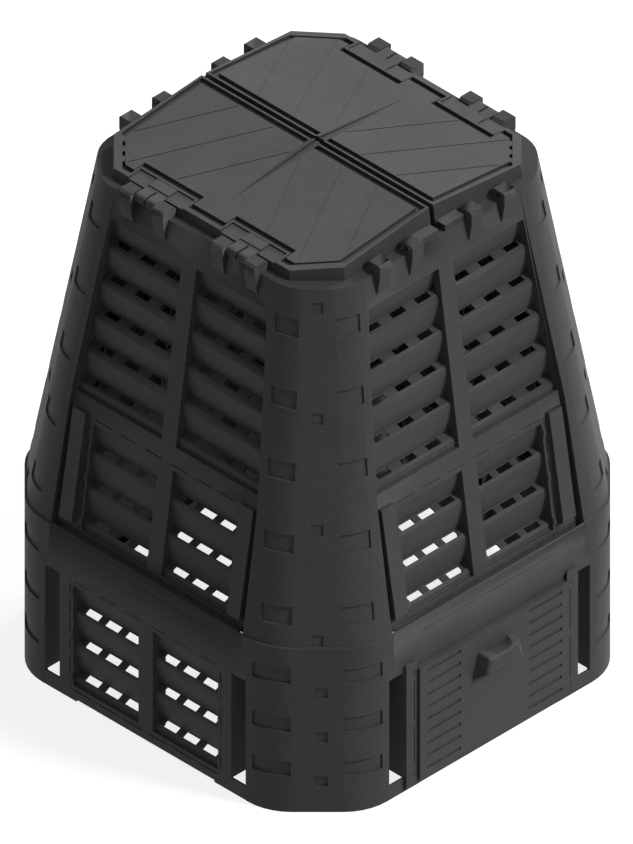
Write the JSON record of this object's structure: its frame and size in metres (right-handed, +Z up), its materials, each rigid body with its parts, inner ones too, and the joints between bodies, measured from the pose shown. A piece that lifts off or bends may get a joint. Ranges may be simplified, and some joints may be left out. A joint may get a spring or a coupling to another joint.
{
  "type": "compost bin with lid",
  "caption": "Tapered square garden compost bin of louvred plastic panels and corner posts on a ring base, with slide-up hatches and a two-flap hinged lid.",
  "frame": {"origin": "centre of the foot, on the ground", "axes": "+Z up, the front hatch faces -Y, the lid flaps hinge on the -X and +X sides"},
  "size_m": [0.8028, 0.876, 1.02],
  "materials": {
    "post": "satin recycled plastic, fine grain",
    "wall": "satin recycled plastic, fine grain",
    "grille": "satin recycled plastic, fine grain",
    "hatch": "satin recycled plastic, fine grain",
    "lid": "satin recycled plastic, fine grain"
  },
  "bodies": {
    "bin": {"body_wall_front": "wall", "body_grille_front": "grille", "ring_wall_front": "wall", "body_wall_right": "wall", "body_grille_right": "grille", "ring_wall_right": "wall", "body_wall_back": "wall", "body_grille_back": "grille", "ring_wall_back": "wall", "body_wall_left": "wall", "body_grille_left": "grille", "ring_wall_left": "wall", "ring_grille_left": "grille", "ring_grille_right": "grille", "body_post_front_right": "post", "ring_post_front_right": "post", "body_post_back_right": "post", "ring_post_back_right": "post", "body_post_back_left": "post", "ring_post_back_left": "post", "body_post_front_left": "post", "ring_post_front_left": "post"},
    "lid_left": {"lid_left": "lid"},
    "lid_right": {"lid_right": "lid"},
    "hatch_front": {"hatch_front": "hatch"},
    "hatch_back": {"hatch_back": "hatch"}
  },
  "joints": [
    {"name": "lid_left_hinge", "type": "hinge", "parent": "bin", "child": "lid_left", "pos_m": [-0.288, 0, 0.98], "axis": [0, -1, 0], "range_deg": [0, 110]},
    {"name": "lid_right_hinge", "type": "hinge", "parent": "bin", "child": "lid_right", "pos_m": [0.288, 0, 0.98], "axis": [0, 1, 0], "range_deg": [0, 110]},
    {"name": "hatch_front_slide", "type": "slide", "parent": "bin", "child": "hatch_front", "axis": [0, 0, 1], "range_m": [0, 0.2]},
    {"name": "hatch_back_slide", "type": "slide", "parent": "bin", "child": "hatch_back", "axis": [0, 0, 1], "range_m": [0, 0.2]}
  ]
}
